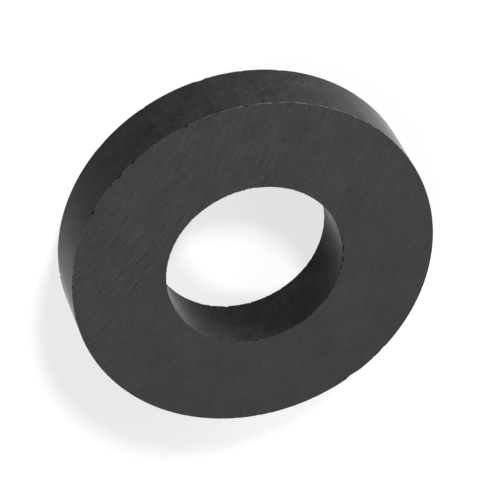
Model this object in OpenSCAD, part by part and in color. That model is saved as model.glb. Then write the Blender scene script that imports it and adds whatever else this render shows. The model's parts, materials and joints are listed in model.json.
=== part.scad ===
// Ring magnet: one sintered hard-ferrite ring, lying on one of its two ground pole faces.
// Frame: millimetres, +Z up along the bore, origin where the bore's axis meets the lower face.

/* [Ring] */
// Outside diameter of the rim
outer_d = 45; // [30:0.5:90]
// Diameter of the bore
bore_d = 22; // [8:0.5:24]
// Thickness over the two ground faces
thickness = 8; // [4:0.5:20]

/* [Edges] */
// Width and height of the edge break at both ends of the rim
rim_break = 0.15; // [0.05:0.05:0.5]
// Width and height of the edge break at both ends of the bore
bore_break = 0.1; // [0.05:0.05:0.5]

/* [Nicks] */
// Size of the edge nicks, as a multiple of the lengths and depths listed below
nick_scale = 1; // [0.5:0.1:2]

/* [Hidden] */

outer_r = outer_d / 2;
bore_r = bore_d / 2;
ferrite_grey = "#3d3d3e";

// Each nick is [azimuth in degrees, length along the edge, depth], for a nick_scale of 1.
// The ring chipped where it was knocked, so the nicks follow no pattern.
upper_rim_nicks = [
  [45, 0.8, 0.08],
  [124, 2.2, 0.15],
  [137, 1.3, 0.10],
  [226, 0.6, 0.08],
  [273, 0.7, 0.10],
  [292, 0.8, 0.12],
  [311, 0.9, 0.14],
  [317, 1.2, 0.16],
  [331, 0.8, 0.14],
];
lower_rim_nicks = [
  [6, 0.9, 0.20],
  [228, 0.9, 0.14],
  [257, 1.1, 0.10],
  [269, 0.6, 0.10],
  [282, 1.4, 0.14],
  [301, 0.6, 0.09],
];
upper_bore_nicks = [
  [4, 0.6, 0.12],
  [122, 0.7, 0.10],
  [146, 0.8, 0.10],
  [169, 0.8, 0.15],
  [175, 1.0, 0.18],
  [183, 1.1, 0.16],
  [191, 0.7, 0.13],
  [328, 0.6, 0.08],
];
lower_bore_nicks = [
  [37, 0.7, 0.12],
  [82, 0.9, 0.12],
  [98, 0.5, 0.08],
  [143, 0.6, 0.08],
];

// Radius of a sphere whose cap is `length` across and `depth` deep.
function cap_radius(length, depth) = (length * length / 4 + depth * depth) / (2 * depth);

// One half of the section in the (r, z) plane, with its four corners broken at 45 degrees.
module ring_section() {
  polygon([
    [bore_r + bore_break, 0],
    [outer_r - rim_break, 0],
    [outer_r, rim_break],
    [outer_r, thickness - rim_break],
    [outer_r - rim_break, thickness],
    [bore_r + bore_break, thickness],
    [bore_r, thickness - bore_break],
    [bore_r, bore_break],
  ]);
}

// A shell-shaped scoop, as brittle ceramic breaks, measured from the flat of the edge break.
// away_r is 1 on the rim and -1 in the bore; away_z is 1 on the upper face and -1 on the lower.
module nick(azimuth, length, depth, edge_r, edge_z, edge_break, away_r, away_z) {
  ball_r = cap_radius(length, depth);
  // From the sharp corner, in to the flat of the edge break and out again to the ball's centre.
  offset_each_way = (ball_r - depth) / sqrt(2) - edge_break / 2;
  rotate([0, 0, azimuth])
    translate([edge_r + away_r * offset_each_way, 0, edge_z + away_z * offset_each_way])
      sphere(r = ball_r, $fn = 48);
}

module nicks(list, edge_r, edge_z, edge_break, away_r, away_z) {
  for (n = list)
    nick(n[0], n[1] * nick_scale, n[2] * nick_scale, edge_r, edge_z, edge_break, away_r, away_z);
}

module ring_magnet() {
  color(ferrite_grey)
    difference() {
      rotate_extrude($fn = 180) ring_section();
      nicks(upper_rim_nicks, outer_r, thickness, rim_break, 1, 1);
      nicks(lower_rim_nicks, outer_r, 0, rim_break, 1, -1);
      nicks(upper_bore_nicks, bore_r, thickness, bore_break, -1, 1);
      nicks(lower_bore_nicks, bore_r, 0, bore_break, -1, -1);
    }
}

ring_magnet();
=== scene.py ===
# %% [markdown]
# # A ring magnet of hard ferrite
# A ring magnet is pressed from grey-black ferrite powder, fired like a pot, and then ground flat
# on its two pole faces. So the flats have grinding marks, the walls have a smooth satin skin, and
# the edges are rubbed round, with bare broken ceramic wherever one was knocked.
#
# The CAD ring holds the true sizes. This script makes the ring that is looked at, in the same
# place, with a camera, a floor and the light for its picture. Lengths are in metres, as Blender
# has them.

import json
import math

import bpy
from mathutils import Matrix, Vector


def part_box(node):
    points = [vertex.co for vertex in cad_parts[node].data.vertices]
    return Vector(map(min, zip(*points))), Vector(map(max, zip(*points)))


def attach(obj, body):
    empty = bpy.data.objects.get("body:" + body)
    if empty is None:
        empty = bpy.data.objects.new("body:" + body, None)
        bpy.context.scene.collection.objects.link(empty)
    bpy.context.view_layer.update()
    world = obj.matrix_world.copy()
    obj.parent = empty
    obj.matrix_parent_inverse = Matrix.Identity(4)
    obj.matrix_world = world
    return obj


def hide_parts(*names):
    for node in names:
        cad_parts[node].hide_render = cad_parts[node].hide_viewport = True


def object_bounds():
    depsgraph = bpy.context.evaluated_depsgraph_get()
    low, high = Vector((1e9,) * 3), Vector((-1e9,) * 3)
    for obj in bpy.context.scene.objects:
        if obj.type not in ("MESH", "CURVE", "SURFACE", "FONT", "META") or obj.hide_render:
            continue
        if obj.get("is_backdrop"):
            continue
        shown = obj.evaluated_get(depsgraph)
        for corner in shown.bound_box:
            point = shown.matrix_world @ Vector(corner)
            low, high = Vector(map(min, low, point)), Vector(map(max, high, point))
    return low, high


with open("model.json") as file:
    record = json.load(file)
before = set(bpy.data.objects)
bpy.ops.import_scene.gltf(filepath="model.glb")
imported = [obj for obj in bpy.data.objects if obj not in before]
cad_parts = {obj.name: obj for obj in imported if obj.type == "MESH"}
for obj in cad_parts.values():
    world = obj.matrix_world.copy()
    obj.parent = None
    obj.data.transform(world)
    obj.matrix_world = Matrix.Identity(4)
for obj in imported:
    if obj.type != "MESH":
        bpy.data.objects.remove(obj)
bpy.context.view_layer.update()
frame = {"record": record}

MM = 0.001
mounts = {mount["name"]: mount for mount in frame["record"]["mounts"]}
outer_r = mounts["rim"]["dims"]["r_mm"] * MM
bore_r = mounts["bore"]["dims"]["r_mm"] * MM
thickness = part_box("ring_magnet")[1].z
print("ring", outer_r / MM * 2, "x", bore_r / MM * 2, "x", round(thickness / MM, 3), "mm")

# %% [markdown]
# Every tree below, for shapes and for finishes, is built with one helper, so that a step of a
# tree reads as one line. An input is given by its name or its number, and takes a plain value, a
# socket, or a node, which stands for that node's first output. A shader that a new material has
# already is filled in the same way.

# %% One helper for every node
def fill(tree, node, inputs):
    """Sets or links the inputs of one node."""
    for key, value in inputs.items():
        if isinstance(value, bpy.types.Node):
            value = value.outputs[0]
        if isinstance(value, bpy.types.NodeSocket):
            tree.links.new(value, node.inputs[key])
        else:
            node.inputs[key].default_value = value


def add(tree, kind, inputs=None, **settings):
    """Adds one node. Its settings come first, because they decide which inputs it has."""
    made = tree.nodes.new(kind)
    for name, value in settings.items():
        setattr(made, name, value)
    fill(tree, made, inputs or {})
    return made


print("helpers for nodes:", fill.__name__, "and", add.__name__)

# %% [markdown]
# A colour is written in sRGB, as a paint card or a colour picker gives it. Blender works in linear
# light, so one function turns the one into the other by the curve of the sRGB standard.

# %% Written colours as linear light
def colour(hex_code):
    """A written sRGB colour as linear RGBA."""
    linear = []
    for start in (1, 3, 5):  # where the pairs of digits for red, green and blue begin
        share = int(hex_code[start:start + 2], 16) / 255
        linear.append(share / 12.92 if share <= 0.04045 else ((share + 0.055) / 1.055) ** 2.4)
    return (*linear, 1.0)


print("mid grey #808080 is", round(colour("#808080")[0], 3), "in linear light")

# %% [markdown]
# ## The camera
# A long lens from well back keeps the two circles of each face nearly alike, as a catalogue
# picture does. The camera is given by where it stands from the middle of the upper pole face, by
# the way it looks, and by which way is up in its picture. Those two directions are measured, so
# the third axis is worked out from them and the up axis is squared to it.

# %% The camera
CAMERA_STANDS = Vector((77.72, -194.40, 280.74)) * MM
CAMERA_LOOKS = Vector((-0.2210, 0.5506, -0.8050)).normalized()
PICTURE_UP = Vector((-0.1458, -0.8347, -0.5310)).normalized()
LENS_MM = 209.80
SENSOR_MM = 36.0
NEAREST_SEEN = 10 * MM

picture_right = CAMERA_LOOKS.cross(PICTURE_UP).normalized()
picture_up = picture_right.cross(CAMERA_LOOKS)
camera_turn = Matrix((picture_right, picture_up, -CAMERA_LOOKS)).transposed().to_4x4()
camera = bpy.data.objects.new("camera", bpy.data.cameras.new("camera"))
camera.matrix_world = Matrix.Translation(CAMERA_STANDS + Vector((0, 0, thickness))) @ camera_turn
camera.data.lens = LENS_MM
camera.data.sensor_width = SENSOR_MM
camera.data.clip_start = NEAREST_SEEN
bpy.context.scene.collection.objects.link(camera)
bpy.context.scene.camera = camera
print("camera stands", round(CAMERA_STANDS.length / MM), "mm from the upper face")

# %% [markdown]
# ## The ferrite, four ways
# Sintered ferrite is a matt charcoal ceramic. It isn't a metal, so it has no metallic share, and
# what shines on it is only its surface. The four finishes differ in how that surface was made, so
# each is a material of its own. All of them read the place on the ring itself, in Object
# coordinates, so their marks have real sizes and stay where they are when the view changes. They
# start from the usual index of refraction of a glassy ceramic, and the specular level of each then
# says how much of that gloss its skin has.

# %% The start of every finish
CERAMIC_IOR = 1.5


def new_finish(name):
    """An empty material, with its node tree and its surface shader."""
    finish = bpy.data.materials.new(name)
    finish.use_nodes = True
    return finish, finish.node_tree, finish.node_tree.nodes["Principled BSDF"]


print("index of refraction of every ferrite finish:", CERAMIC_IOR)

# %% [markdown]
# **Ground pole face.** The ring went flat under the edge of a large grinding wheel, so its marks
# are arcs of one wide circle whose centre lies well outside the ring. Distance from that centre
# runs across the marks, and angle round it runs along them. Noise that is stretched along the
# arcs gives scratches that begin and end, as real ones do.

# %% Ground pole face: across and along the grinding arcs
WHEEL_CENTRE = (70 * MM, -48 * MM, 0)
WHEEL_R = 85 * MM
LEVEL_ONLY = (1, 1, 0)

ground_face, tree, shader = new_finish("ferrite_ground_pole_face")
place = add(tree, "ShaderNodeTexCoord").outputs["Object"]
from_wheel = add(tree, "ShaderNodeVectorMath", {0: place, 1: WHEEL_CENTRE}, operation="SUBTRACT")
flat = add(tree, "ShaderNodeVectorMath", {0: from_wheel, 1: LEVEL_ONLY}, operation="MULTIPLY")
reach = add(tree, "ShaderNodeVectorMath", {0: flat}, operation="LENGTH").outputs["Value"]
axes = add(tree, "ShaderNodeSeparateXYZ", {0: from_wheel}).outputs
turn = add(tree, "ShaderNodeMath", {0: axes["Y"], 1: axes["X"]}, operation="ARCTAN2")
along = add(tree, "ShaderNodeMath", {0: turn, 1: WHEEL_R}, operation="MULTIPLY")
under_wheel = add(tree, "ShaderNodeCombineXYZ", {"X": reach, "Y": along, "Z": axes["Z"]})
print("wheel marks are arcs of", round(WHEEL_R / MM), "mm radius")

# %% [markdown]
# Each kind of mark has a width and a length in millimetres. A real wheel's grit leaves scratches
# of 0.02 to 0.1 mm. The finest here are drawn 0.1 mm wide, because a picture of the whole ring
# shows nothing finer. Each kind is a noise with its own seed, so no two fall on the same places.

# %% Ground pole face: the scratches
SCRATCHES = {
    # kind: (width, length), in millimetres
    "fine": (0.10, 4.0),
    "light": (0.12, 9.0),
    "dark": (0.12, 7.0),
}
FINER_STEPS = 2.0

scratch = {}
for seed, (name, (width_mm, length_mm)) in enumerate(SCRATCHES.items()):
    per_mark = (1 / (width_mm * MM), 1 / (length_mm * MM), 1 / MM)
    stretched = add(
        tree, "ShaderNodeVectorMath", {0: under_wheel, 1: per_mark}, operation="MULTIPLY",
    )
    scratch[name] = add(
        tree, "ShaderNodeTexNoise",
        {"Vector": stretched, "W": seed, "Scale": 1.0, "Detail": FINER_STEPS},
        noise_dimensions="4D",
    )
    print(name, "scratches are", width_mm, "mm wide and about", length_mm, "mm long")

# %% [markdown]
# The ring lay a hair low on one side, so the wheel bit less there and its marks fade. They also
# come and go in patches a few millimetres wide, because neither wheel nor ring was quite true.

# %% Ground pole face: where the wheel bit
DEEP_SIDE = (0.5, -0.87, 0)
BITE_FAINTEST_AT = -16 * MM
BITE_FULL_AT = 8 * MM
FAINTEST_BITE = 0.35
PATCH_SIZE = 2.8 * MM
PATCH_SEED = 5.0
FAINTEST_PATCH = 0.25

towards_deep = add(
    tree, "ShaderNodeVectorMath", {0: place, 1: DEEP_SIDE}, operation="DOT_PRODUCT",
).outputs["Value"]
bite = add(tree, "ShaderNodeMapRange", {
    "Value": towards_deep, "From Min": BITE_FAINTEST_AT, "From Max": BITE_FULL_AT,
    "To Min": FAINTEST_BITE,
})
patches = add(
    tree, "ShaderNodeTexNoise",
    {"Vector": place, "W": PATCH_SEED, "Scale": 1 / PATCH_SIZE, "Detail": 1.0},
    noise_dimensions="4D",
)
in_patches = add(tree, "ShaderNodeMapRange", {
    "Value": patches, "From Min": 0.35, "From Max": 0.62, "To Min": FAINTEST_PATCH,
})
bite_here = add(tree, "ShaderNodeMath", {0: bite, 1: in_patches}, operation="MULTIPLY")
print("the wheel's marks fade to", FAINTEST_BITE, "of their strength on the shallow side")

# %% [markdown]
# A noise lies about a half everywhere, so a single scratch is a place where it goes well past
# that: above it for a light scratch, below it for a dark one. The fine marks are the whole noise,
# up and down, and lie between the others as a brushed ground.

# %% Ground pole face: light, dark and fine marks
NOISE_MIDDLE = 0.5

drawn = {
    "light": add(tree, "ShaderNodeMapRange", {
        "Value": scratch["light"], "From Min": 0.58, "From Max": 0.72,
    }),
    "dark": add(tree, "ShaderNodeMapRange", {
        "Value": scratch["dark"], "From Min": 0.42, "From Max": 0.28,
    }),
    "fine": add(
        tree, "ShaderNodeMath", {0: scratch["fine"], 1: NOISE_MIDDLE}, operation="SUBTRACT",
    ),
}
marks = {}
for name, line in drawn.items():
    marks[name] = add(tree, "ShaderNodeMath", {0: line, 1: bite_here}, operation="MULTIPLY")
print("marks:", ", ".join(marks))

# %% [markdown]
# The body under the marks is cloudy over a few millimetres, mottled under one, and finely grained
# by its pores. Every layer pushes one tone up or down by its share, and the tone then picks a grey
# between the darkest and the lightest. The even layers are taken about their own middle, so that
# they don't move the tone's.

# %% One tone out of many layers
def layered_tone(tree, even_layers, other_layers=()):
    """Adds up (layer, share) pairs, with the even ones centred on the middle tone."""
    tone = NOISE_MIDDLE - sum(share for layer, share in even_layers) * NOISE_MIDDLE
    for layer, share in (*even_layers, *other_layers):
        tone = add(tree, "ShaderNodeMath", {0: layer, 1: share, 2: tone}, operation="MULTIPLY_ADD")
    return tone


print("the middle tone is", NOISE_MIDDLE)

# %% [markdown]
# The clouds, the mottle and the grain are the even layers. The deepest hollows of the mottle are
# also drawn as pores, which are dark. The hue isn't part of the tone: it only tips the colour.
# The marks come last and strongest, because a ground face is known by them.

# %% Ground pole face: the body and its tone
FACE_LAYERS = {
    # name: size in millimetres
    "clouds": 3.5,
    "mottle": 0.8,
    "grain": 0.17,
    "hue": 6.0,
}
FACE_SHARES = {"clouds": 0.30, "mottle": 0.22, "grain": 0.70}
MARK_SHARES = {"fine": 1.0, "light": 0.48, "dark": -0.45}
PORE_SHARE = -0.3
FACE_SEED = 10
FINER_SHARE = 0.6

face = {}
for seed, (name, size_mm) in enumerate(FACE_LAYERS.items(), FACE_SEED):
    face[name] = add(
        tree, "ShaderNodeTexNoise",
        {
            "Vector": place, "W": seed, "Scale": 1 / (size_mm * MM),
            "Detail": FINER_STEPS, "Roughness": FINER_SHARE,
        },
        noise_dimensions="4D",
    )
pores = add(tree, "ShaderNodeMapRange", {
    "Value": face["mottle"], "From Min": 0.32, "From Max": 0.22,
})
even_layers = [(face[name], share) for name, share in FACE_SHARES.items()]
mark_layers = [(marks[name], share) for name, share in MARK_SHARES.items()]
tone = layered_tone(tree, even_layers, [*mark_layers, (pores, PORE_SHARE)])
print("pole face layers:", ", ".join(face))

# %% [markdown]
# The light greys lean to blue in places and to brown in others. The lighter grains are also the
# duller ones, and the fine scratches and the grain tilt the surface a little. A Mix node has one
# set of sockets for numbers and another for colours, under the same names, so those for colours
# are found by their places.

# %% Ground pole face: colour and surface
MIX_FIRST = 6
MIX_SECOND = 7
MIX_RESULT = 2
FACE_DARKEST = "#191919"
FACE_LIGHTEST_COOL = "#4e4e53"
FACE_LIGHTEST_WARM = "#52514e"
FACE_RELIEF = 0.01 * MM

lightest = add(
    tree, "ShaderNodeMix",
    {
        "Factor": face["hue"],
        MIX_FIRST: colour(FACE_LIGHTEST_COOL), MIX_SECOND: colour(FACE_LIGHTEST_WARM),
    },
    data_type="RGBA",
).outputs[MIX_RESULT]
face_colour = add(
    tree, "ShaderNodeMix",
    {"Factor": tone, MIX_FIRST: colour(FACE_DARKEST), MIX_SECOND: lightest},
    data_type="RGBA",
).outputs[MIX_RESULT]
face_rough = add(tree, "ShaderNodeMapRange", {
    "Value": face["grain"], "To Min": 0.44, "To Max": 0.62,
})
relief = add(tree, "ShaderNodeMath", {0: scratch["fine"], 1: face["grain"]}, operation="ADD")
bump = add(tree, "ShaderNodeBump", {"Height": relief, "Strength": 0.5, "Distance": FACE_RELIEF})
fill(tree, shader, {
    "Base Color": face_colour, "Roughness": face_rough, "Normal": bump,
    "IOR": CERAMIC_IOR, "Specular IOR Level": 0.35,
})
print(ground_face.name, "runs from", FACE_DARKEST, "to", FACE_LIGHTEST_COOL)

# %% [markdown]
# **As-fired wall.** The rim and the bore were shaped by the press and touched by nothing since.
# Their skin is closer than the ground faces, with a satin sheen and a faint warm green tint. It
# is patchy from the kiln, and drawn in fine lines up the wall by the die it was pushed out of. The
# lines are a noise whose place changes little with height, so each runs on for a few millimetres.

# %% As-fired wall: its layers
DIE_STRETCH = (1, 1, 0.08)
WALL_SEED = 20

fired_wall, tree, shader = new_finish("ferrite_as_fired_wall")
place = add(tree, "ShaderNodeTexCoord").outputs["Object"]
up_the_wall = add(tree, "ShaderNodeVectorMath", {0: place, 1: DIE_STRETCH}, operation="MULTIPLY")
WALL_LAYERS = {
    # name: (where it is read, size in millimetres)
    "patches": (place, 2.2),
    "mottle": (place, 0.7),
    "specks": (place, 0.20),
    "die_lines": (up_the_wall, 0.3),
    "hue": (place, 3.0),
}
wall = {}
for seed, (name, (where, size_mm)) in enumerate(WALL_LAYERS.items(), WALL_SEED):
    wall[name] = add(
        tree, "ShaderNodeTexNoise",
        {
            "Vector": where, "W": seed, "Scale": 1 / (size_mm * MM),
            "Detail": FINER_STEPS, "Roughness": FINER_SHARE,
        },
        noise_dimensions="4D",
    )
print("wall layers:", ", ".join(wall))

# %% [markdown]
# The wall's own grey is nearly black, so its look is mostly its sheen. That is smooth but weak: it
# hardly shows when the wall is looked at squarely, and it takes over at the two ends of the ring,
# where the wall is seen along its surface.

# %% As-fired wall: colour and surface
WALL_SHARES = {"patches": 0.8, "mottle": 0.6, "specks": 1.0, "die_lines": 0.4}
WALL_DARKEST = "#0e0f0e"
WALL_LIGHTEST_WARM = "#3a3a36"
WALL_LIGHTEST_GREEN = "#363736"
WALL_RELIEF = 0.03 * MM
WALL_SHEEN = 0.033

tone = layered_tone(tree, [(wall[name], share) for name, share in WALL_SHARES.items()])
lightest = add(
    tree, "ShaderNodeMix",
    {
        "Factor": wall["hue"],
        MIX_FIRST: colour(WALL_LIGHTEST_WARM), MIX_SECOND: colour(WALL_LIGHTEST_GREEN),
    },
    data_type="RGBA",
).outputs[MIX_RESULT]
wall_colour = add(
    tree, "ShaderNodeMix",
    {"Factor": tone, MIX_FIRST: colour(WALL_DARKEST), MIX_SECOND: lightest},
    data_type="RGBA",
).outputs[MIX_RESULT]
wall_rough = add(tree, "ShaderNodeMapRange", {
    "Value": wall["patches"], "To Min": 0.08, "To Max": 0.22,
})
relief = add(tree, "ShaderNodeMath", {0: wall["mottle"], 1: wall["die_lines"]}, operation="ADD")
bump = add(tree, "ShaderNodeBump", {"Height": relief, "Strength": 0.5, "Distance": WALL_RELIEF})
fill(tree, shader, {
    "Base Color": wall_colour, "Roughness": wall_rough, "Normal": bump,
    "IOR": CERAMIC_IOR, "Specular IOR Level": WALL_SHEEN,
})
print(fired_wall.name, "runs from", WALL_DARKEST, "to", WALL_LIGHTEST_WARM)

# %% [markdown]
# ** Worn edge.** Between its chips an edge has been rubbed round by handling. It is the same ceramic as the walls, a little duller, and it catches the light as a fine grey line. Its lightest grey is partly a painted highlight, set lighter to brighten that line. The rubbing is uneven over a few tenths of a millimetre: the more rubbed, the lighter and the smoother, so the painted highlight follows the rubbing.

# %% Worn edge, with a painted highlight
RUB_SIZE = 0.4 * MM
WORN_DARKEST = "#0c0c0c"
# The lightest grey is partly a painted highlight along the rubbed edge.
WORN_LIGHTEST_AND_HIGHLIGHT = "#3f3f3c"
WORN_RELIEF = 0.03 * MM

worn_edge_and_highlight, tree, shader = new_finish("ferrite_worn_edge")
place = add(tree, "ShaderNodeTexCoord").outputs["Object"]
rubbed = add(tree, "ShaderNodeTexNoise", {"Vector": place, "Scale": 1 / RUB_SIZE, "Detail": 3.0})
rub_and_highlight_share = add(tree, "ShaderNodeMapRange", {"Value": rubbed, "From Min": 0.35, "From Max": 0.65})
worn_and_highlight_colour = add(
    tree, "ShaderNodeMix",
    {"Factor": rub_and_highlight_share, MIX_FIRST: colour(WORN_DARKEST), MIX_SECOND: colour(WORN_LIGHTEST_AND_HIGHLIGHT)},
    data_type="RGBA",
).outputs[MIX_RESULT]
worn_rough = add(tree, "ShaderNodeMapRange", {"Value": rubbed, "To Min": 0.55, "To Max": 0.35})
bump = add(tree, "ShaderNodeBump", {"Height": rubbed, "Strength": 0.6, "Distance": WORN_RELIEF})
fill(tree, shader, {
    "Base Color": worn_and_highlight_colour, "Roughness": worn_rough, "Normal": bump, "IOR": CERAMIC_IOR,
})
print(worn_edge_and_highlight.name, "runs from", WORN_DARKEST, "to", WORN_LIGHTEST_AND_HIGHLIGHT)

# %% [markdown]
# ** Broken edge.** Where a flake came off, bare ceramic shows. It is dull and rough, so it hardly shines. Its near black is partly the fresh break and partly painted shade, the shade that falls in the hollow of each chip, and it is brownish where powder has stuck in it.

# %% Broken edge, darkened by painted shade
CRYSTAL_SIZE = 0.12 * MM
POWDER_SIZE = 1.5 * MM
# The darkest and lightest greys of the break are partly painted shade of the chips' hollows.
BREAK_DARKEST_AND_SHADE = "#0b0b0b"
BREAK_LIGHTEST_AND_SHADE = "#272625"
BREAK_POWDERED = "#2b2420"
BREAK_RELIEF = 0.03 * MM

broken_edge_and_shade, tree, shader = new_finish("ferrite_broken_edge")
place = add(tree, "ShaderNodeTexCoord").outputs["Object"]
crystals = add(
    tree, "ShaderNodeTexNoise", {"Vector": place, "Scale": 1 / CRYSTAL_SIZE, "Detail": 4.0},
)
powder = add(tree, "ShaderNodeTexNoise", {"Vector": place, "Scale": 1 / POWDER_SIZE})
lightest = add(
    tree, "ShaderNodeMix",
    {"Factor": powder, MIX_FIRST: colour(BREAK_LIGHTEST_AND_SHADE), MIX_SECOND: colour(BREAK_POWDERED)},
    data_type="RGBA",
).outputs[MIX_RESULT]
break_and_shade_colour = add(
    tree, "ShaderNodeMix",
    {"Factor": crystals, MIX_FIRST: colour(BREAK_DARKEST_AND_SHADE), MIX_SECOND: lightest},
    data_type="RGBA",
).outputs[MIX_RESULT]
bump = add(tree, "ShaderNodeBump", {"Height": crystals, "Strength": 1.0, "Distance": BREAK_RELIEF})
fill(tree, shader, {
    "Base Color": break_and_shade_colour, "Normal": bump,
    "Roughness": 0.62, "IOR": CERAMIC_IOR, "Specular IOR Level": 0.15,
})
print(broken_edge_and_shade.name, "runs from", BREAK_DARKEST_AND_SHADE, "to", BREAK_POWDERED)

# %% [markdown]
# ## The ring and its chipped edges
# The ring is one section swept round a circle, and hundreds of small flakes have come off its four
# edges. Both follow rules, so Geometry Nodes make them. Each flake is cut by an egg-shaped pebble
# with a rough skin, laid on the edge and pushed outwards until only its inner side bites. Cutting
# gives the crisp outlines and hollow facets of broken ceramic, which moving points about would
# blur.
#
# The nicks that can be told apart are listed. On an edge each is an angle round the ring in degrees,
# and then a length along the edge and a depth in millimetres. One chip also runs on up the rim's
# wall, so its height over the floor stands after its angle.

# %% The nicks told apart one by one
RIM_UPPER = [
    (45, 0.8, 0.08), (124, 2.2, 0.15), (137, 1.3, 0.10), (226, 0.6, 0.08), (273, 0.7, 0.10),
    (292, 0.8, 0.12), (311, 0.9, 0.14), (317, 1.2, 0.16), (331, 0.8, 0.14),
]
RIM_LOWER = [
    (6, 0.9, 0.20), (228, 0.9, 0.14), (257, 1.1, 0.10), (269, 0.6, 0.10), (282, 1.4, 0.14),
    (301, 0.6, 0.09),
]
BORE_UPPER = [
    (4, 0.6, 0.12), (122, 0.7, 0.10), (146, 0.8, 0.10), (169, 0.8, 0.15), (175, 1.0, 0.18),
    (183, 1.1, 0.16), (191, 0.7, 0.13), (328, 0.6, 0.08),
]
BORE_LOWER = [(37, 0.7, 0.12), (82, 0.9, 0.12), (98, 0.5, 0.08), (143, 0.6, 0.08)]
WALL_CHIPS = [(6, 0.42, 0.8, 0.09)]
print(len(RIM_UPPER) + len(RIM_LOWER), "nicks on the rim,", len(WALL_CHIPS), "chip on its wall,")
print(len(BORE_UPPER) + len(BORE_LOWER), "nicks on the bore")

# %% [markdown]
# Each listed nick becomes a loose point, which is what the modifier starts from, and its length
# and depth go with it as attributes. A depth is measured from the worn edge, so what the wear took
# off the sharp corner is added to it. The rim's edges are rubbed rounder than the bore's, because
# a hand and a bench reach them more.

# %% The listed nicks as loose points
RIM_WORN_R = 0.08 * MM
BORE_WORN_R = 0.025 * MM
CORNER_SHARE = math.sqrt(2) - 1
ON_EDGE = 0.0
ON_WALL = 1.0

nicks = []
for edge_r, edge_z, worn_r, listed in (
    (outer_r, thickness, RIM_WORN_R, RIM_UPPER), (outer_r, 0, RIM_WORN_R, RIM_LOWER),
    (bore_r, thickness, BORE_WORN_R, BORE_UPPER), (bore_r, 0, BORE_WORN_R, BORE_LOWER),
):
    for degrees, length_mm, depth_mm in listed:
        angle = math.radians(degrees)
        spot = (edge_r * math.cos(angle), edge_r * math.sin(angle), edge_z)
        nicks.append((spot, length_mm * MM, depth_mm * MM + worn_r * CORNER_SHARE, ON_EDGE))
for degrees, height_mm, length_mm, depth_mm in WALL_CHIPS:
    angle = math.radians(degrees)
    spot = (outer_r * math.cos(angle), outer_r * math.sin(angle), height_mm * MM)
    nicks.append((spot, length_mm * MM, depth_mm * MM, ON_WALL))

nick_points = bpy.data.meshes.new("ring_magnet_ferrite")
nick_points.from_pydata([nick[0] for nick in nicks], [], [])
for name, column in (("nick_length", 1), ("nick_depth", 2), ("on_wall", 3)):
    values = nick_points.attributes.new(name, "FLOAT", "POINT")
    values.data.foreach_set("value", [nick[column] for nick in nicks])
ring = bpy.data.objects.new("ring_magnet_ferrite", nick_points)
bpy.context.scene.collection.objects.link(ring)
print(len(nicks), "nicks listed by hand")

# %% [markdown]
# The tree's inputs are the sizes that a maker would set, the seed and the four finishes.

# %% The tree and its inputs
shape = bpy.data.node_groups.new("chipped_ring", "GeometryNodeTree")
shape.is_modifier = True
SIZE_INPUTS = [
    ("Outer Radius", "NodeSocketFloat", outer_r),
    ("Bore Radius", "NodeSocketFloat", bore_r),
    ("Thickness", "NodeSocketFloat", thickness),
    ("Rim Rounding", "NodeSocketFloat", RIM_WORN_R),
    ("Bore Rounding", "NodeSocketFloat", BORE_WORN_R),
    ("Segments", "NodeSocketInt", 900),
    ("Flake Spacing", "NodeSocketFloat", 0.22 * MM),
    ("Smallest Flake", "NodeSocketFloat", 0.025 * MM),
    ("Largest Flake", "NodeSocketFloat", 0.13 * MM),
    ("Seed", "NodeSocketInt", 7),
    ("Pole Face", "NodeSocketMaterial", ground_face),
    ("Wall", "NodeSocketMaterial", fired_wall),
    # The worn edge's lighter grey is partly a painted highlight.
    ("Worn Edge And Highlight", "NodeSocketMaterial", worn_edge_and_highlight),
    # The break's darkness is partly painted shade.
    ("Break With Shade", "NodeSocketMaterial", broken_edge_and_shade),
]
for way in ("INPUT", "OUTPUT"):
    shape.interface.new_socket("Geometry", in_out=way, socket_type="NodeSocketGeometry")
for name, kind, value in SIZE_INPUTS:
    shape.interface.new_socket(name, in_out="INPUT", socket_type=kind)
given = shape.nodes.new("NodeGroupInput").outputs
result = shape.nodes.new("NodeGroupOutput")
print("tree inputs:", ", ".join(name for name, kind, value in SIZE_INPUTS))

# %% [markdown]
# **The plain ring.** A rectangle as wide as the ring's body and as high as the ring has its four
# corners rounded, in three short steps each. It is swept round a circle of the body's middle
# radius, and lifted until its lower face lies at zero. A cylinder with a hole in it would do for
# the body, but a swept section lets the rim and the bore each have their own rounding.

# %% The plain ring
ROUNDING_STEPS = 3
HALF = 0.5

radii = {0: given["Outer Radius"], 1: given["Bore Radius"]}
sum_r = add(shape, "ShaderNodeMath", radii, operation="ADD")
middle_r = add(shape, "ShaderNodeMath", {0: sum_r, 1: HALF}, operation="MULTIPLY")
body_w = add(shape, "ShaderNodeMath", radii, operation="SUBTRACT")
circle = add(shape, "GeometryNodeCurvePrimitiveCircle", {
    "Resolution": given["Segments"], "Radius": middle_r,
})
section = add(shape, "GeometryNodeCurvePrimitiveQuadrilateral", {
    "Width": body_w, "Height": given["Thickness"],
})
in_section = add(shape, "ShaderNodeSeparateXYZ", {0: add(shape, "GeometryNodeInputPosition")})
at_rim = add(
    shape, "FunctionNodeCompare", {0: in_section.outputs["X"], 1: 0.0}, operation="GREATER_THAN",
)
rounding = add(
    shape, "GeometryNodeSwitch",
    {"Switch": at_rim, "False": given["Bore Rounding"], "True": given["Rim Rounding"]},
    input_type="FLOAT",
)
rounded = add(
    shape, "GeometryNodeFilletCurve",
    {"Curve": section, "Count": ROUNDING_STEPS, "Radius": rounding}, mode="POLY",
)
swept = add(shape, "GeometryNodeCurveToMesh", {"Curve": circle, "Profile Curve": rounded})
half_t = add(shape, "ShaderNodeMath", {0: given["Thickness"], 1: HALF}, operation="MULTIPLY")
lift = add(shape, "ShaderNodeCombineXYZ", {"Z": half_t})
plain_ring = add(shape, "GeometryNodeTransform", {"Geometry": swept, "Translation": lift})
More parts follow.
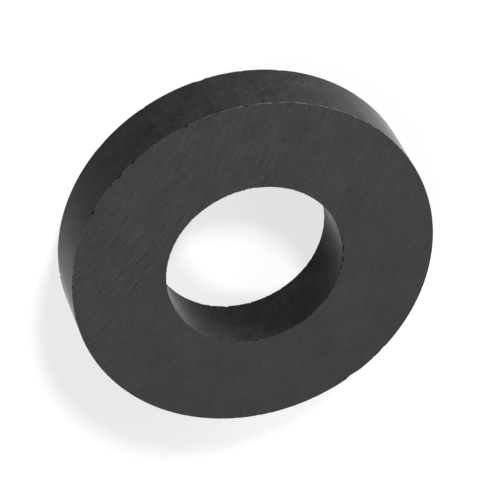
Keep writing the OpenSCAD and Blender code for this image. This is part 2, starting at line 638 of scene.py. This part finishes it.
print("section", round((outer_r - bore_r) / MM, 2), "x", round(thickness / MM, 2), "mm")

# %% [markdown]
# **The small flakes.** One point for each is set round the four edges, at the sharp corner that
# the edge once had, and shaken along it by up to a degree or so, because an even row would look
# like a saw. The smallest flakes stop short of the rim's rubbed edges and mark only the bore's.

# %% The small flakes: where they are
SHAKE = 0.02

rings_of_points = add(shape, "GeometryNodeJoinGeometry")
for edge_r, edge_z in (
    (given["Outer Radius"], 0.0), (given["Outer Radius"], given["Thickness"]),
    (given["Bore Radius"], 0.0), (given["Bore Radius"], given["Thickness"]),
):
    round_it = add(shape, "ShaderNodeMath", {0: edge_r, 1: 2 * math.pi}, operation="MULTIPLY")
    how_many = add(
        shape, "ShaderNodeMath", {0: round_it, 1: given["Flake Spacing"]}, operation="DIVIDE",
    )
    edge = add(shape, "GeometryNodeMeshCircle", {"Vertices": how_many, "Radius": edge_r})
    up_to_edge = add(shape, "ShaderNodeCombineXYZ", {"Z": edge_z})
    in_place = add(shape, "GeometryNodeTransform", {"Geometry": edge, "Translation": up_to_edge})
    fill(shape, rings_of_points, {0: in_place})

# A Random Value node has its sockets for plain numbers at these places.
LEAST = 2
MOST = 3
RANDOM = 1
place = add(shape, "GeometryNodeInputPosition")
shake = add(
    shape, "FunctionNodeRandomValue", {LEAST: -SHAKE, MOST: SHAKE, "Seed": given["Seed"]},
).outputs[RANDOM]
shaken = add(
    shape, "ShaderNodeVectorRotate", {"Vector": place, "Angle": shake}, rotation_type="Z_AXIS",
)
flake_points = add(
    shape, "GeometryNodeSetPosition", {"Geometry": rings_of_points, "Position": shaken},
)
print("flakes are shaken by up to", round(math.degrees(SHAKE), 1), "degrees")

# %% [markdown]
# Most flakes are tiny and a few are large, so an even random share is raised to a high power. They
# come in runs, because a ring is knocked in places, so a noise of a few millimetres holds them
# back between the runs. A flake is three to eight times as long as it is deep.

# %% The small flakes: how large they are
RUN_SIZE = 5 * MM
SHARE_BETWEEN_RUNS = 0.35
RARENESS = 5.0
SHORTEST = 3.0
LONGEST = 8.0

knocks = add(
    shape, "ShaderNodeTexNoise", {"Vector": place, "Scale": 1 / RUN_SIZE, "Detail": FINER_STEPS},
)
in_runs = add(shape, "ShaderNodeMapRange", {
    "Value": knocks, "From Min": 0.35, "From Max": 0.65, "To Min": SHARE_BETWEEN_RUNS,
})
size_seed = add(shape, "ShaderNodeMath", {0: given["Seed"], 1: 1.0}, operation="ADD")
chance = add(shape, "FunctionNodeRandomValue", {"Seed": size_seed}).outputs[RANDOM]
rare = add(shape, "ShaderNodeMath", {0: chance, 1: RARENESS}, operation="POWER")
rare_in_runs = add(shape, "ShaderNodeMath", {0: rare, 1: in_runs}, operation="MULTIPLY")
flake_depth = add(shape, "ShaderNodeMapRange", {
    "Value": rare_in_runs, "To Min": given["Smallest Flake"], "To Max": given["Largest Flake"],
})
stretch_seed = add(shape, "ShaderNodeMath", {0: given["Seed"], 1: 2.0}, operation="ADD")
stretch = add(
    shape, "FunctionNodeRandomValue", {LEAST: SHORTEST, MOST: LONGEST, "Seed": stretch_seed},
).outputs[RANDOM]
flake_length = add(shape, "ShaderNodeMath", {0: flake_depth, 1: stretch}, operation="MULTIPLY")
sized_points = flake_points
for name, value in (("nick_depth", flake_depth), ("nick_length", flake_length)):
    sized_points = add(
        shape, "GeometryNodeStoreNamedAttribute",
        {"Geometry": sized_points, "Name": name, "Value": value},
        data_type="FLOAT", domain="POINT",
    )
all_points = add(shape, "GeometryNodeJoinGeometry", {0: sized_points})
fill(shape, all_points, {0: given["Geometry"]})
print("a flake is", SHORTEST, "to", LONGEST, "times as long as it is deep")

# %% [markdown]
# **The pebbles.** Smooth balls would leave smooth scoops, and a new rough one for each of nearly two
# thousand cuts would be slow. So six unit balls with different rough skins serve for all of them,
# which is enough, because each is stretched and rolled anew. A skin is made by moving the points
# of a coarse ball in or out by a noise.

# %% The pebbles
PEBBLE_KINDS = 6
PEBBLE_ROUGHNESS = 0.35
PEBBLE_LUMPS = 1.6
PEBBLE_SPLITS = 3
SEEDS_APART = 10.0

pebbles = add(shape, "GeometryNodeJoinGeometry")
for kind in range(PEBBLE_KINDS):
    ball = add(
        shape, "GeometryNodeMeshIcoSphere", {"Radius": 1.0, "Subdivisions": PEBBLE_SPLITS},
    )
    skin = add(
        shape, "ShaderNodeTexNoise",
        {"W": kind * SEEDS_APART, "Scale": PEBBLE_LUMPS, "Detail": FINER_STEPS},
        noise_dimensions="4D",
    )
    centred = add(shape, "ShaderNodeMath", {0: skin, 1: NOISE_MIDDLE}, operation="SUBTRACT")
    swell = add(shape, "ShaderNodeMath", {0: centred, 1: PEBBLE_ROUGHNESS}, operation="MULTIPLY")
    outward = add(shape, "GeometryNodeInputNormal")
    push = add(shape, "ShaderNodeVectorMath", {0: outward, "Scale": swell}, operation="SCALE")
    rough = add(shape, "GeometryNodeSetPosition", {"Geometry": ball, "Offset": push})
    pebble = add(shape, "GeometryNodeGeometryToInstance", {0: rough})
    fill(shape, pebbles, {0: pebble})
print(PEBBLE_KINDS, "kinds of pebble")

# %% [markdown]
# **Which way is out.** At each point the ring's own shape says where the air is: away from the axis
# on the rim and towards it in the bore, and up on the upper face and down on the lower. A
# comparison gives 1 or 0, and twice that less one gives the two sides, 1 and -1. On an edge the two
# ways out add up to 45 degrees. On the wall only the first counts.

# %% Which way is out
corner = add(shape, "ShaderNodeSeparateXYZ", {0: place}).outputs
radial = add(shape, "ShaderNodeVectorMath", {0: place, 1: LEVEL_ONLY}, operation="MULTIPLY")
radial_unit = add(shape, "ShaderNodeVectorMath", {0: radial}, operation="NORMALIZE")
radius = add(shape, "ShaderNodeVectorMath", {0: radial}, operation="LENGTH").outputs["Value"]
on_rim = add(shape, "ShaderNodeMath", {0: radius, 1: middle_r}, operation="GREATER_THAN")
on_top = add(shape, "ShaderNodeMath", {0: corner["Z"], 1: half_t}, operation="GREATER_THAN")
side_r = add(shape, "ShaderNodeMath", {0: on_rim, 1: 2.0, 2: -1.0}, operation="MULTIPLY_ADD")
corner_z = add(shape, "ShaderNodeMath", {0: on_top, 1: 2.0, 2: -1.0}, operation="MULTIPLY_ADD")
on_wall = add(
    shape, "GeometryNodeInputNamedAttribute", {"Name": "on_wall"}, data_type="FLOAT",
)
off_wall = add(shape, "ShaderNodeMath", {0: 1.0, 1: on_wall}, operation="SUBTRACT")
side_z = add(shape, "ShaderNodeMath", {0: corner_z, 1: off_wall}, operation="MULTIPLY")
out_r = add(shape, "ShaderNodeVectorMath", {0: radial_unit, "Scale": side_r}, operation="SCALE")
out_z = add(shape, "ShaderNodeCombineXYZ", {"Z": side_z})
outwards = add(shape, "ShaderNodeVectorMath", {0: out_r, 1: out_z}, operation="ADD")
print("on an edge, out is 45 degrees between the wall and the face")

# %% [markdown]
# **Laying the pebbles on the edges.** In the ring's section a pebble is round, with a radius of a
# few times its bite. Its centre then stands out from the corner by that radius less the bite. Each
# of the two steps out is that distance over the square root of two, and together they reach it. A
# chip on the wall takes only one of them, so it bites about 1.7 times its listed depth.

# %% Laying the pebbles: how far out
ROUNDNESS = 3.3

depth_in = add(
    shape, "GeometryNodeInputNamedAttribute", {"Name": "nick_depth"}, data_type="FLOAT",
)
stand_out = add(
    shape, "ShaderNodeMath", {0: depth_in, 1: (ROUNDNESS - 1) / math.sqrt(2)},
    operation="MULTIPLY",
)
stand_at = add(
    shape, "ShaderNodeVectorMath", {0: outwards, "Scale": stand_out}, operation="SCALE",
)
stood_out = add(shape, "GeometryNodeSetPosition", {"Geometry": all_points, "Offset": stand_at})
wall_bite = ROUNDNESS - (ROUNDNESS - 1) / math.sqrt(2)
print("a chip on the wall bites", round(wall_bite, 2), "times its listed depth")

# %% [markdown]
# Along the edge a pebble is stretched until its bite has the wanted length. A ball that bites by
# its depth makes a cut that is only a share of its own width, so the stretch is divided by that
# share. Each pebble is rolled about the edge at random, so that no two cuts look alike, and then
# turned to lie along its own piece of the edge.

# %% Laying the pebbles: size, roll and turn
BITE_SHARE = math.sqrt(1 - ((ROUNDNESS - 1) / ROUNDNESS) ** 2)
# A Random Value node has its sockets for whole numbers at these places.
FIRST_WHOLE = 4
LAST_WHOLE = 5
RANDOM_WHOLE = 2

length_in = add(
    shape, "GeometryNodeInputNamedAttribute", {"Name": "nick_length"}, data_type="FLOAT",
)
across = add(shape, "ShaderNodeMath", {0: depth_in, 1: ROUNDNESS}, operation="MULTIPLY")
lengthways = add(
    shape, "ShaderNodeMath", {0: length_in, 1: HALF / BITE_SHARE}, operation="MULTIPLY",
)
pebble_size = add(shape, "ShaderNodeCombineXYZ", {"X": across, "Y": lengthways, "Z": across})
round_angle = add(shape, "ShaderNodeMath", {0: corner["Y"], 1: corner["X"]}, operation="ARCTAN2")
roll = add(
    shape, "FunctionNodeRandomValue", {LEAST: 0.0, MOST: 2 * math.pi, "Seed": given["Seed"]},
).outputs[RANDOM]
along_edge = add(shape, "ShaderNodeCombineXYZ", {"Y": roll, "Z": round_angle})
which = add(
    shape, "FunctionNodeRandomValue",
    {FIRST_WHOLE: 0, LAST_WHOLE: PEBBLE_KINDS - 1, "Seed": given["Seed"]}, data_type="INT",
).outputs[RANDOM_WHOLE]
print("a cut is", round(BITE_SHARE, 2), "as long as its pebble")

# %% [markdown]
# The pebbles are set out as instances and all taken from the ring at once. The manifold solver
# suits closed shapes such as these, and leaves a closed mesh.

# %% Cut the ring
cutters = add(shape, "GeometryNodeInstanceOnPoints", {
    "Points": stood_out, "Instance": pebbles, "Pick Instance": True, "Instance Index": which,
    "Rotation": along_edge, "Scale": pebble_size,
})
cut_ring = add(
    shape, "GeometryNodeMeshBoolean", {"Mesh 1": plain_ring, "Mesh 2": cutters},
    operation="DIFFERENCE", solver="MANIFOLD",
)
print("cut by the", cut_ring.solver.lower(), "solver")

# %% [markdown]
# **Which finish goes where.** A face that looks straight up or down is ground. One that looks
# level is a fired wall. One that leans between the two and doesn't turn along the edge is worn
# edge, and everything else is broken. The turn shows in the cross product of a face's normal with
# the way out from the axis: its upright part is zero where the face doesn't turn.

# %% How each face lies
STRAIGHT_OVER = 0.9999
LEVEL_UNDER = 0.001
UNTURNED_UNDER = 0.01

facing = add(shape, "ShaderNodeSeparateXYZ", {0: add(shape, "GeometryNodeInputNormal")})
upright = add(shape, "ShaderNodeMath", {0: facing.outputs["Z"]}, operation="ABSOLUTE")
sideways = add(
    shape, "ShaderNodeVectorMath", {0: radial_unit, 1: add(shape, "GeometryNodeInputNormal")},
    operation="CROSS_PRODUCT",
)
off_line = add(shape, "ShaderNodeSeparateXYZ", {0: sideways})
turned = add(shape, "ShaderNodeMath", {0: off_line.outputs["Z"]}, operation="ABSOLUTE")
is_pole = add(
    shape, "FunctionNodeCompare", {0: upright, 1: STRAIGHT_OVER},
    data_type="FLOAT", operation="GREATER_THAN",
)
is_level = add(
    shape, "FunctionNodeCompare", {0: upright, 1: LEVEL_UNDER},
    data_type="FLOAT", operation="LESS_THAN",
)
is_worn = add(
    shape, "FunctionNodeCompare", {0: turned, 1: UNTURNED_UNDER},
    data_type="FLOAT", operation="LESS_THAN",
)
print("a pole face is within", round(math.degrees(math.acos(STRAIGHT_OVER)), 1), "degrees of flat")

# %% [markdown]
# Only edges flatter than a few degrees are smoothed over, so that walls look round and flakes
# keep their facets. The whole ring is first dressed as broken, and each other finish then takes
# the faces that are its own, so the last one laid wins.

# %% Smooth the ring and dress it
SMOOTH_UNDER = math.radians(4)

bend = add(shape, "GeometryNodeInputMeshEdgeAngle").outputs["Unsigned Angle"]
is_gentle = add(
    shape, "FunctionNodeCompare", {0: bend, 1: SMOOTH_UNDER},
    data_type="FLOAT", operation="LESS_THAN",
)
smooth = cut_ring
for is_smooth, domain in ((True, "FACE"), (is_gentle, "EDGE")):
    smooth = add(
        shape, "GeometryNodeSetShadeSmooth", {0: smooth, "Shade Smooth": is_smooth},
        domain=domain,
    )
solid = add(shape, "GeometryNodeRealizeInstances", {0: smooth})
dressed = add(
    shape, "GeometryNodeSetMaterial", {"Geometry": solid, "Material": given["Break With Shade"]},
)
for chosen, finish in ((is_worn, "Worn Edge And Highlight"), (is_level, "Wall"), (is_pole, "Pole Face")):
    dressed = add(
        shape, "GeometryNodeSetMaterial",
        {"Geometry": dressed, "Selection": chosen, "Material": given[finish]},
    )
fill(shape, result, {0: dressed})
print("edges under", round(math.degrees(SMOOTH_UNDER)), "degrees are smoothed over")

# %% [markdown]
# The modifier's inputs are set before the ring is first worked out, and the result is kept as a
# plain mesh. The loose points came in with an empty finish, which no face wears, so it is dropped.

# %% Run the tree and keep the mesh
cut = ring.modifiers.new("chipped_ring", "NODES")
cut.node_group = shape
identifiers = {
    item.name: item.identifier for item in shape.interface.items_tree if item.in_out == "INPUT"
}
for name, kind, value in SIZE_INPUTS:
    cut[identifiers[name]] = value
bpy.context.view_layer.update()
depsgraph = bpy.context.evaluated_depsgraph_get()
plain_mesh = bpy.data.meshes.new_from_object(ring.evaluated_get(depsgraph), depsgraph=depsgraph)
ring.modifiers.remove(cut)
ring.data = plain_mesh
plain_mesh.name = "ring_magnet_ferrite"
plain_mesh.materials.pop(index=0)
plain_mesh.calc_loop_triangles()
print("ring:", len(plain_mesh.vertices), "points,", len(plain_mesh.loop_triangles), "triangles")
for index, finish in enumerate(plain_mesh.materials):
    dressed_faces = sum(1 for side in plain_mesh.polygons if side.material_index == index)
    print(finish.name, "on", dressed_faces, "faces")

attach(ring, "root")
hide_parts("ring_magnet")

# %% [markdown]
# ## The floor
# A sheet of white paper. A plain white background would show the ring as well, but the ring would
# seem to float. The paper takes its shadow, and throws light back up on its walls, as paper does.
# A lens that is set for a dark part shows such paper as plain white. So for the rays that are
# seen, by the camera or in a gloss, the sheet glows a little, and for the light that falls on the
# ring it is only paper. The gloss of the walls gets a little less glow than the camera, so that
# their bright ends stay grey.

# %% The floor's paper
PAPER_LIT = "#bcbcbc"
PAPER_SEEN = "#c4c4c4"
PAPER_GLOW = 0.58
GLOW_IN_GLOSS = 0.46
WHITE = "#ffffff"

paper, tree, shader = new_finish("floor_white_paper")
rays = add(tree, "ShaderNodeLightPath").outputs
looked_at = add(
    tree, "ShaderNodeMath", {0: rays["Is Camera Ray"], 1: rays["Is Glossy Ray"]},
    operation="MAXIMUM",
)
seen = add(
    tree, "ShaderNodeMath", {0: looked_at, 1: rays["Is Transmission Ray"]}, operation="MAXIMUM",
)
glow_in_gloss = add(tree, "ShaderNodeMath", {0: seen, 1: GLOW_IN_GLOSS}, operation="MULTIPLY")
paper_colour = add(
    tree, "ShaderNodeMix",
    {"Factor": seen, MIX_FIRST: colour(PAPER_LIT), MIX_SECOND: colour(PAPER_SEEN)},
    data_type="RGBA",
).outputs[MIX_RESULT]
glow = add(
    tree, "ShaderNodeMix",
    {"Factor": rays["Is Camera Ray"], "A": glow_in_gloss, "B": PAPER_GLOW},
    data_type="FLOAT",
)
fill(tree, shader, {
    "Base Color": paper_colour, "Roughness": 0.9, "Specular IOR Level": 0.0,
    "Emission Color": colour(WHITE), "Emission Strength": glow,
})
print("paper glows by", PAPER_GLOW, "for the camera and by", GLOW_IN_GLOSS, "in a gloss")

# %% [markdown]
# The sheet itself is one large square face, wide enough that its edge is never in the picture.

# %% The floor
FLOOR_HALF = 1.5

floor_corners = [
    (-FLOOR_HALF, -FLOOR_HALF, 0), (FLOOR_HALF, -FLOOR_HALF, 0),
    (FLOOR_HALF, FLOOR_HALF, 0), (-FLOOR_HALF, FLOOR_HALF, 0),
]
floor_mesh = bpy.data.meshes.new("floor")
floor_mesh.from_pydata(floor_corners, [], [(0, 1, 2, 3)])
floor_mesh.materials.append(paper)
floor = bpy.data.objects.new("floor", floor_mesh)
bpy.context.scene.collection.objects.link(floor)
floor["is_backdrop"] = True
print("floor:", 2 * FLOOR_HALF, "m square")

# %% [markdown]
# ## The light
# Five soft boxes and a faint even sky. One large lamp overhead would light the whole rim alike and
# flatten it. Two low boxes, the key and a weaker one across from it, run along the rim from its
# two ends instead, and leave the middle dark, so that the ring reads as round. A
# higher, smaller one throws the shadow behind the ring. The high box lights the upper pole face,
# and reaches down the bore to its far wall. The near one stands by the ring's edge, so its light
# falls off across the face. All of them are square and face the middle of the ring.

# %% The soft boxes
LAMPS = {
    # name: (azimuth, elevation, distance in metres, width in metres, watts)
    "key": (219, 6, 0.60, 0.20, 4.6),
    "left": (42, 11, 0.60, 0.20, 1.5),
    "shadow": (256, 36, 0.60, 0.10, 2.5),
    "high": (20, 65, 0.80, 0.20, 2.1),
    "near": (190, 35, 0.14, 0.05, 0.030),
}

for name, (azimuth, elevation, distance, width, watts) in LAMPS.items():
    light = bpy.data.lights.new(name, "AREA")
    light.size = width
    light.energy = watts
    round_by = math.radians(azimuth)
    up_by = math.radians(elevation)
    level = math.cos(up_by)
    towards = Vector((math.cos(round_by) * level, math.sin(round_by) * level, math.sin(up_by)))
    soft_box = bpy.data.objects.new(name, light)
    soft_box.location = towards * distance
    soft_box.rotation_euler = towards.to_track_quat("Z", "Y").to_euler()
    soft_box.visible_camera = False
    bpy.context.scene.collection.objects.link(soft_box)
print("lamps:", ", ".join(LAMPS))

# %% [markdown]
# The sky is even and white, and just strong enough that no shadow is quite black. The Standard
# view shows each colour as it comes out, with no film look laid over it.

# %% The sky and the view
SKY = 0.03

studio = bpy.data.worlds.new("studio")
studio.use_nodes = True
sky = studio.node_tree.nodes["Background"]
fill(studio.node_tree, sky, {"Color": colour(WHITE), "Strength": SKY})
bpy.context.scene.world = studio
bpy.context.scene.view_settings.view_transform = "Standard"
print("sky:", SKY)

# %% [markdown]
# ## Sizes and finish
# The box round the finished ring is printed. Flakes only take ceramic away, so the finished ring
# never stands outside the CAD one by more than the facets of a circle.

# %% Print the finished ring's box
visual_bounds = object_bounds()
lowest, highest = visual_bounds
extents = [round((high - low) / MM, 2) for low, high in zip(lowest, highest)]
print("finished ring:", " x ".join(str(extent) for extent in extents), "mm")
